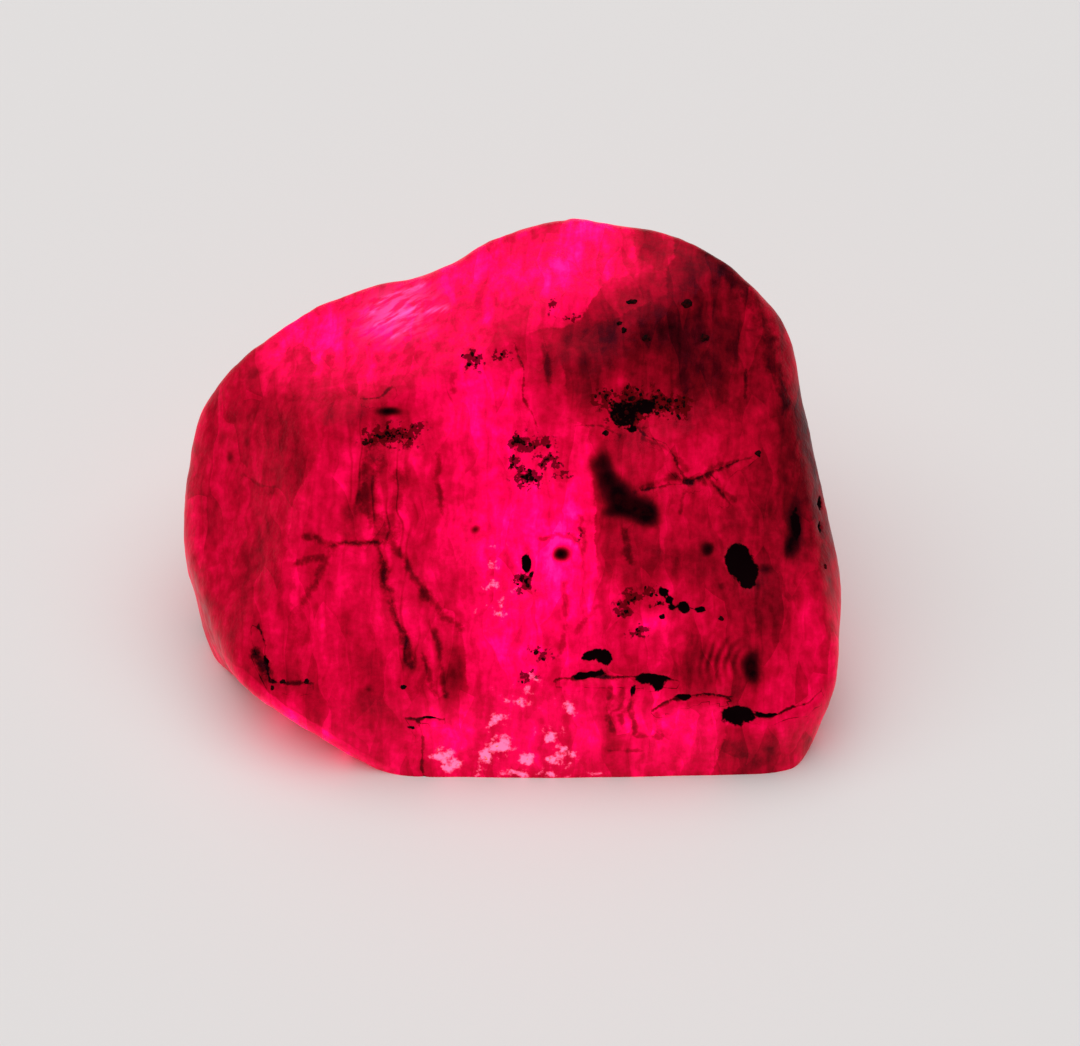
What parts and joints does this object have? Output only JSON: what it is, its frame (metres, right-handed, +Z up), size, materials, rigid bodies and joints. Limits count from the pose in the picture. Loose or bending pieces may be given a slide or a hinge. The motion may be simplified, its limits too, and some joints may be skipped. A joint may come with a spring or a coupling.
{
  "type": "raw ruby crystal",
  "caption": "Rough lump of cloudy pink-red ruby with worn flat faces, a long ridge, a ledge and dark grains, resting on a flat base.",
  "frame": {"origin": "middle of the bounding box, at the height of the flat base the stone rests on", "axes": "+X to the right along the longest side, +Y toward the back, +Z up; the broad front face looks toward -Y"},
  "size_m": [0.025, 0.0178, 0.0149],
  "materials": {
    "ruby": "cloudy translucent pink-red with a frosted, worn skin, dark grains and veils inside"
  },
  "bodies": {
    "root": {"ruby_crystal": "ruby"}
  },
  "joints": []
}
